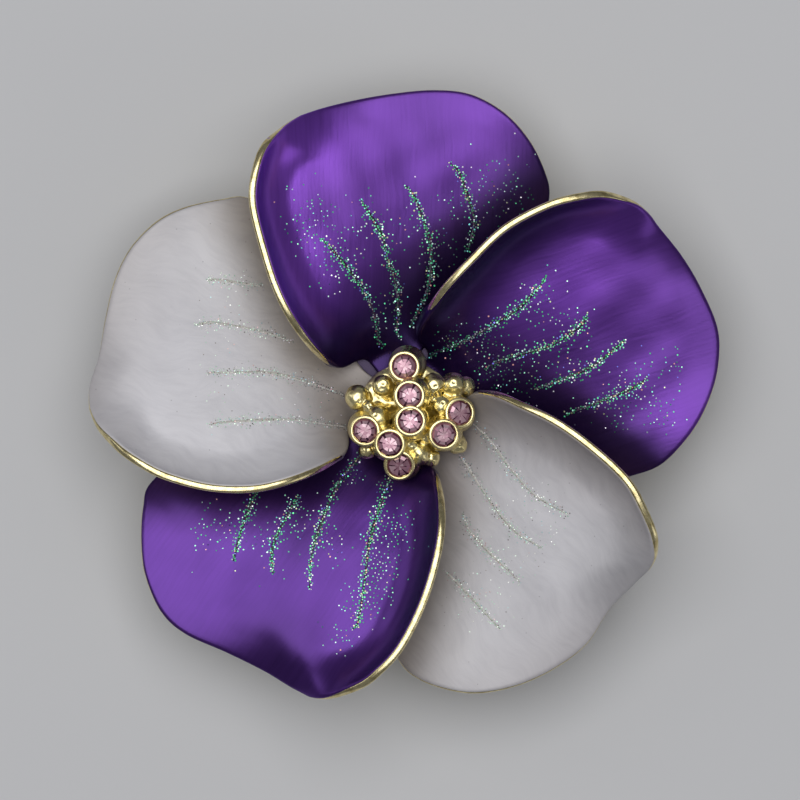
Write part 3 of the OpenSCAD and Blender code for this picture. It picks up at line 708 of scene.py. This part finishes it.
LIT = []
for nm in PETALS:
    dark = nm not in ("lower_right", "left")
    LIT.clear()
    V, F, GV, GF = [], [], [], []
    spots = {}
    for si, st in enumerate(STROKES[nm]):
        line = smooth_line(st, 0.25)
        total = len(line)
        sec = []
        for i, p in enumerate(line):
            t = i / (total - 1)
            width = (0.62 if dark else 0.5) * (0.75 + 0.35 * math.sin(5.1 * t + si) ** 2) * min(1, 0.35 + 6 * t) * (1 - 0.55 * max(0, (t - 0.6) / 0.4))
            q = line[min(i + 1, total - 1)] - line[max(i - 1, 0)]
            q = q / (np.linalg.norm(q) + 1e-9)
            side = np.array([-q[1], q[0]])
            hit = drop(*p)
            if hit is None or hit[2] != nm:
                continue
            sec.append((hit, side, width, q))
            for _ in range(12 if dark else 15):
                o = rng.normal(0, 0.36 if dark else 0.48) * width
                if rng.random() < 0.08:
                    o *= 2.2
                o = max(-0.75, min(0.75, o))
                a = rng.uniform(-0.14, 0.14)
                sprinkle(V, F, spots, p[0] + side[0] * o + q[0] * a, p[1] + side[1] * o + q[1] * a, nm, 0.165 if dark else 0.155,
                         0.08 if dark else 0.056, 0.03 + 0.035 * math.exp(-(o / 0.25) ** 2), 0.3)
        # raised glue line under the flakes
        base = len(GV)
        for hit, side, width, q in sec:
            c, n = Vector(hit[0]), Vector(hit[1])
            s3 = Vector((side[0], side[1], 0))
            s3 = (s3 - n * s3.dot(n)).normalized()
            w = width * (0.30 if dark else 0.36) * (0.85 + 0.3 * rng.random()) * MM
            for a, h in ((-1.0, -0.03), (-0.55, 0.035), (0.0, 0.055), (0.55, 0.035), (1.0, -0.03)):
                GV.append(c + s3 * (a * w) + n * ((h if dark or h < 0 else 0.35 * h) * MM))
        K = len(sec)
        for i in range(K - 1):
            a = base + i * 5
            for j in range(4):
                GF.append([a + j + 1, a + j, a + 5 + j, a + 5 + j + 1])
            GF.append([a, a + 4, a + 9, a + 5])
        if K > 1:
            GF.append([base + j for j in range(5)])
            a = base + (K - 1) * 5
            GF.append([a + 4 - j for j in range(5)])
    for cx, cy, spread, count in SCATTER[nm]:
        for _ in range(int(count * 1.5)):
            sprinkle(V, F, spots, cx + rng.normal(0, spread * 0.6), cy + rng.normal(0, spread * 0.6), nm, 0.26, 0.068 if dark else 0.05, 0.008, 0.2)
    ob = raw("glitter_" + nm, V, F, MAT_FLAKE_D if dark else MAT_FLAKE_P)
    ca = ob.data.color_attributes.new("lit", "FLOAT_COLOR", "POINT")
    ca.data.foreach_set("color", np.repeat(np.array([(*c, 1.0) for c in LIT], np.float32), 12, 0).ravel())
    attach(ob, "brooch")
    ob = raw("glitter_bed_" + nm, GV, GF, MAT_GLUE_D if dark else MAT_GLUE_P, smooth=True)
    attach(ob, "brooch")

# ------------------------------------------------------------------ centre cluster
STONES = [("top", -0.34, 4.3, 2), ("upper_middle", 0.15, 1.52, 4), ("middle", 0.23, -0.87, 3), ("lower_left", -1.7, -3.05, 9), ("lower_right", 3.39, -2.15, 10), ("left", -4.05, -1.8, 12), ("right", 4.88, -0.12, 16), ("bottom", -0.8, -5.05, 16)]
BEADS = [(-2.38, 2.48, 0.9), (-4.83, 1.33, 1.1), (-2.82, -0.59, 1.1), (2.5, 2.65, 0.95), (4.3, 2.5, 1.1), (5.5, 2.4, 0.85), (3.12, 0.64, 0.95), (1.02, -3.98, 1.05), (2.2, -4.4, 0.8), (4.7, -3.1, 0.9), (-3.9, -3.7, 0.78), (0.3, -3.1, 0.6), (-3.7, 0.5, 0.55), (1.7, -2.4, 0.6), (1.9, 1.5, 0.55)]

BEADS = [(x, y, r * 1.13) for x, y, r in BEADS]


def stone_matrix(x, y, tilt):
    r = math.hypot(x, y)
    z = 16.0 - 0.077 * r * r
    return (Matrix.Translation(((CLUSTER[0] + x) * MM, (CLUSTER[1] + y) * MM, z * MM)) @ Matrix.Rotation(math.atan2(y, x), 4, "Z")
            @ Matrix.Rotation(math.radians(tilt), 4, "Y"))


LEAN = {"top": (0.30, 0.26), "upper_middle": (0.26, 0.16), "middle": (0.12, -0.24), "lower_left": (-0.10, -0.12), "lower_right": (0.22, 0.05), "left": (-0.16, 0.10), "right": (0.12, -0.10), "bottom": (0.24, -0.04)}


def lean(verts, m, nm):
    """Pushes the foot of a cup sideways, so more of its wall shows on one side of the stone."""
    inv = m.inverted()
    dx, dy = LEAN[nm]
    for v in verts:
        t = max(0.0, min(1.0, (-(inv @ v.co).z / MM + 0.1) / 0.9))
        v.co += Vector((dx * t * MM, dy * t * MM, 0))


def lathe(bm, profile, n, mat=None):
    """Closed solid of revolution about Z from an (r, z) profile in mm; r may be 0 at the ends."""
    rings = []
    for r, z in profile:
        if r < 1e-6:
            rings.append([bm.verts.new(Vector((0, 0, z * MM)))])
        else:
            rings.append([bm.verts.new(Vector((r * MM * math.cos(2 * math.pi * i / n), r * MM * math.sin(2 * math.pi * i / n), z * MM))) for i in range(n)])
    new = [v for q in rings for v in q]
    for a, b in zip(rings, rings[1:]):
        for i in range(n):
            j = (i + 1) % n
            if len(a) == 1 and len(b) == 1:
                continue
            if len(a) == 1:
                bm.faces.new((a[0], b[j], b[i]))
            elif len(b) == 1:
                bm.faces.new((a[i], a[j], b[0]))
            else:
                bm.faces.new((a[i], a[j], b[j], b[i]))
    if len(rings[0]) > 1 and len(rings[-1]) > 1:
        a, b = rings[-1], rings[0]
        for i in range(n):
            j = (i + 1) % n
            bm.faces.new((a[i], a[j], b[j], b[i]))
    if mat is not None:
        for v in new:
            v.co = mat @ v.co
    return new


def finish_bm(bm, name, mat, smooth=True):
    bmesh.ops.recalc_face_normals(bm, faces=bm.faces)
    me = bpy.data.meshes.new(name)
    bm.to_mesh(me)
    bm.free()
    me.materials.append(mat)
    if smooth:
        me.polygons.foreach_set("use_smooth", [True] * len(me.polygons))
    ob = bpy.data.objects.new(name, me)
    bpy.context.scene.collection.objects.link(ob)
    return ob


# casting body: dome, bead necks and beads grown together, then remeshed so that the joints are soft
bm = bmesh.new()
T = Matrix.Translation((CLUSTER[0] * MM, CLUSTER[1] * MM, 0))
lathe(bm, [(0, Z_BASE), (2.3, Z_BASE), (3.0, 10.7), (4.5, 11.5), (4.75, 11.8), (4.3, 12.1), (3.1, 12.4), (1.6, 12.6), (0, 12.7)], 48, T)
for x, y, r in BEADS:
    rr = math.hypot(x, y)
    z = 14.7 - 0.062 * rr * rr - 0.35 * r
    c = Matrix.Translation(((CLUSTER[0] + x) * MM, (CLUSTER[1] + y) * MM, z * MM))
    ico = bmesh.ops.create_icosphere(bm, subdivisions=3, radius=r * MM, matrix=c)
    t = c @ Matrix.Rotation(math.atan2(y, x), 4, "Z") @ Matrix.Rotation(math.radians(38), 4, "Y")
    lathe(bm, [(0, -2.4), (0.85 * r, -2.4), (0.62 * r, 0), (0, 0)], 20, t)
for nm, x, y, tilt in STONES:
    m = stone_matrix(x, y, tilt)
    lean(lathe(bm, [(0, -3.9), (0.75, -3.9), (0.85, -2.1), (1.82, -1.2), (1.68, -0.7), (1.5, -0.12), (1.0, -0.15), (0, -0.8)], 40, m), m, nm)
body = finish_bm(bm, "centre_casting", MAT_CAST)
rm = body.modifiers.new("remesh", "REMESH")
rm.mode = "VOXEL"
rm.voxel_size = 0.10 * MM
rm.use_smooth_shade = True
sm = body.modifiers.new("soften", "SMOOTH")
sm.factor = 0.5
sm.iterations = 4
dg = bpy.context.evaluated_depsgraph_get()
me = bpy.data.meshes.new_from_object(body.evaluated_get(dg))
body.modifiers.clear()
body.data = me
me.update()
co = np.empty(len(me.vertices) * 3, np.float32)
me.vertices.foreach_get("co", co)
co = co.reshape(-1, 3)
nv = np.empty(len(me.vertices) * 3, np.float32)
me.vertices.foreach_get("normal", nv)
nv = nv.reshape(-1, 3)
lump = np.array([noise.noise(Vector(c) * 900) * 0.15 + noise.noise(Vector(c) * 2100) * 0.06 for c in co])
push = np.minimum(0.04, lump)
for i, (x, y, r) in enumerate(BEADS):
    rr = math.hypot(x, y)
    z = 14.7 - 0.062 * rr * rr - 0.35 * r
    d = Vector((0.25 * math.sin(2.3 * i), 0.25 * math.cos(3.1 * i), 1)).normalized()
    c = np.array([CLUSTER[0] + x + d[0] * r, CLUSTER[1] + y + d[1] * r, z + d[2] * r]) * MM
    q = np.linalg.norm(co - c, axis=1) / MM / 0.24
    push -= np.where(q < 1, 0.10 * (1 - q * q) ** 2, 0)
me.vertices.foreach_set("co", (co + nv * (push * MM)[:, None]).astype(np.float32).ravel())
me.update()
me.polygons.foreach_set("use_smooth", [True] * len(me.polygons))
if not me.materials:
    me.materials.append(MAT_CAST)
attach(body, "brooch")
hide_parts("centre_cluster")

# crisp bezels: a turned rim round each stone
bm = bmesh.new()
for nm, x, y, tilt in STONES:
    m = stone_matrix(x, y, tilt)
    prof = [(1.24, -0.14), (1.245, 0.10), (1.21, 0.20), (1.16, 0.33), (1.17, 0.385), (1.22, 0.415), (1.30, 0.42), (1.41, 0.40), (1.48, 0.34),
            (1.515, 0.24), (1.54, 0.06), (1.57, -0.20), (1.62, -0.50), (1.70, -0.80), (1.79, -1.06), (1.82, -1.18), (1.74, -1.28), (1.3, -1.2), (1.3, -0.3)]
    lean(lathe(bm, prof, 64, m), m, nm)
bez = finish_bm(bm, "stone_bezels", MAT_CAST)
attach(bez, "brooch")


# stones: faceted crown over a foiled back; each facet keeps one tone, light and dark tones painted in place of the
# facets' reflections
def stone_mat():
    m, nt, b = new_mat("rose_stone")
    at = node(nt, "ShaderNodeVertexColor", layer_name="facet")
    tc = node(nt, "ShaderNodeTexCoord")
    n1 = node(nt, "ShaderNodeTexNoise")
    n1.inputs["Scale"].default_value = 700
    n1.inputs["Detail"].default_value = 2
    nt.links.new(tc.outputs["Object"], n1.inputs["Vector"])
    cr = ramp(nt, [(0.35, (0.75, 0.72, 0.74)), (0.65, (1.1, 1.08, 1.1))])
    nt.links.new(n1.outputs["Fac"], cr.inputs["Fac"])
    mx = node(nt, "ShaderNodeMix", data_type="RGBA", blend_type="MULTIPLY")
    mx.inputs["Factor"].default_value = 1.0
    nt.links.new(at.outputs["Color"], mx.inputs["A"])
    nt.links.new(cr.outputs["Color"], mx.inputs["B"])
    nt.links.new(mx.outputs["Result"], b.inputs["Base Color"])
    b.inputs["Metallic"].default_value = 0.55
    b.inputs["Roughness"].default_value = 0.12
    b.inputs["Coat Weight"].default_value = 0.5
    b.inputs["Coat Roughness"].default_value = 0.06
    # painted glow: the stone emits a little of its facet colours in place of sparkle
    nt.links.new(mx.outputs["Result"], b.inputs["Emission Color"])
    b.inputs["Emission Strength"].default_value = 0.12
    b.inputs["Coat IOR"].default_value = 1.5
    return m


MAT_STONE = stone_mat()
for si, (nm, x, y, tilt) in enumerate(STONES):
    m = stone_matrix(x, y, tilt) @ Matrix.Rotation(rng.uniform(0, 0.78), 4, "Z")
    # painted reflections: eight narrow dark wedges between eight wide light ones run out from the middle
    ang = []
    for i in range(8):
        c = i * math.pi / 4
        half = rng.uniform(0.07, 0.13)
        ang += [c - half, c + half]
    V = [m @ Vector((0, 0, 0.50 * MM))]
    for r, z in ((0.40, 0.502), (0.70, 0.50), (1.0, 0.35), (1.195, 0.13), (1.195, 0.0)):
        for w in ang:
            V.append(m @ Vector((r * math.cos(w) * MM, r * math.sin(w) * MM, z * MM)))
    V.append(m @ Vector((0, 0, -0.72 * MM)))
    F, tone = [], []
    # painted reflections: light, dark and middle facet tones
    facet_highlights = [(184, 146, 156), (168, 128, 141), (196, 162, 170), (158, 116, 130), (206, 178, 184)]
    facet_shadows = [(84, 42, 62), (66, 28, 50), (112, 62, 84)]
    facet_midtones = [(160, 114, 128), (178, 134, 146), (132, 86, 102)]
    pick = lambda l: l[rng.integers(len(l))]
    for i in range(16):
        j = (i + 1) % 16
        thin = i % 2 == 0
        F.append((0, 1 + i, 1 + j)); tone.append(pick(facet_midtones) if thin else pick(facet_highlights))
        F.append((1 + i, 17 + i, 17 + j, 1 + j)); tone.append(pick(facet_shadows if thin and rng.random() < 0.8 else facet_highlights))
        F.append((17 + i, 33 + i, 33 + j, 17 + j)); tone.append(pick(facet_shadows if thin and rng.random() < 0.8 else facet_highlights))
        F.append((33 + i, 49 + i, 49 + j, 33 + j)); tone.append(pick(facet_shadows if rng.random() < 0.2 else facet_midtones))
        F.append((49 + i, 65 + i, 65 + j, 49 + j)); tone.append((150, 96, 116))
        F.append((65 + i, 81, 65 + j)); tone.append((150, 96, 116))
    me = bpy.data.meshes.new("stone_" + nm)
    me.from_pydata([tuple(v) for v in V], [], F)
    ca = me.color_attributes.new("facet", "FLOAT_COLOR", "CORNER")
    for poly, c in zip(me.polygons, tone):
        c = srgb(*c)
        for li in poly.loop_indices:
            ca.data[li].color = (*c, 1)
    me.materials.append(MAT_STONE)
    bm = bmesh.new()
    bm.from_mesh(me)
    bmesh.ops.recalc_face_normals(bm, faces=bm.faces)
    bm.to_mesh(me)
    bm.free()
    ob = bpy.data.objects.new("gem_" + nm, me)
    bpy.context.scene.collection.objects.link(ob)
    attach(ob, "brooch")
    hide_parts("stone_" + nm)

# ------------------------------------------------------------------ pin hardware keeps its CAD solids
for n in ("spacer_disc", "centre_rivet", "pin_plate", "hinge_bracket", "hinge_rivet", "catch_bracket", "lock_barrel", "pin_stem"):
    o = NODES[n]
    mat = MAT_WIRE if n == "pin_stem" else MAT_PLATE if n == "pin_plate" else MAT_GOLD
    o.data.materials.clear()
    o.data.materials.append(mat)
    w = o.modifiers.new("weld", "WELD")
    w.merge_threshold = 0.000002
    bv = o.modifiers.new("bevel", "BEVEL")
    bv.width = 0.00006
    bv.segments = 2
    bv.limit_method = "ANGLE"
    bv.angle_limit = math.radians(40)
    bv.use_clamp_overlap = True

# ------------------------------------------------------------------ stage and light
fm = bpy.data.materials.new("floor")
fm.use_nodes = True
fb = fm.node_tree.nodes["Principled BSDF"]
fb.inputs["Base Color"].default_value = (0.62, 0.62, 0.63, 1)
fb.inputs["Roughness"].default_value = 0.9
bpy.ops.mesh.primitive_plane_add(size=4, location=(0, 0, -0.00001))
floor = bpy.context.object
floor.name = "floor"
floor.data.materials.append(fm)

bpy.context.scene.view_settings.view_transform = "Standard"
world = bpy.data.worlds.new("world")
bpy.context.scene.world = world
world.use_nodes = True
bg = world.node_tree.nodes["Background"]
bg.inputs["Color"].default_value = (0.55, 0.57, 0.62, 1)
bg.inputs["Strength"].default_value = 0.26


def area(name, loc, target, sx, sy, power, color=(1, 1, 1)):
    d = bpy.data.lights.new(name, "AREA")
    d.shape = "RECTANGLE"
    d.size, d.size_y = sx, sy
    d.energy = power
    d.color = color
    o = bpy.data.objects.new(name, d)
    o.location = loc
    o.rotation_euler = (Vector(target) - Vector(loc)).to_track_quat("-Z", "Y").to_euler()
    bpy.context.scene.collection.objects.link(o)
    return o


area("key", (-0.05, 0.10, 0.85), (0, 0, 0.01), 0.80, 0.80, 5.2)
area("side", (-0.60, 0.20, 0.34), (0, 0, 0.01), 0.16, 0.40, 0.25)
area("rim", (0.55, -0.30, 0.30), (0, 0, 0.01), 0.16, 0.40, 0.20)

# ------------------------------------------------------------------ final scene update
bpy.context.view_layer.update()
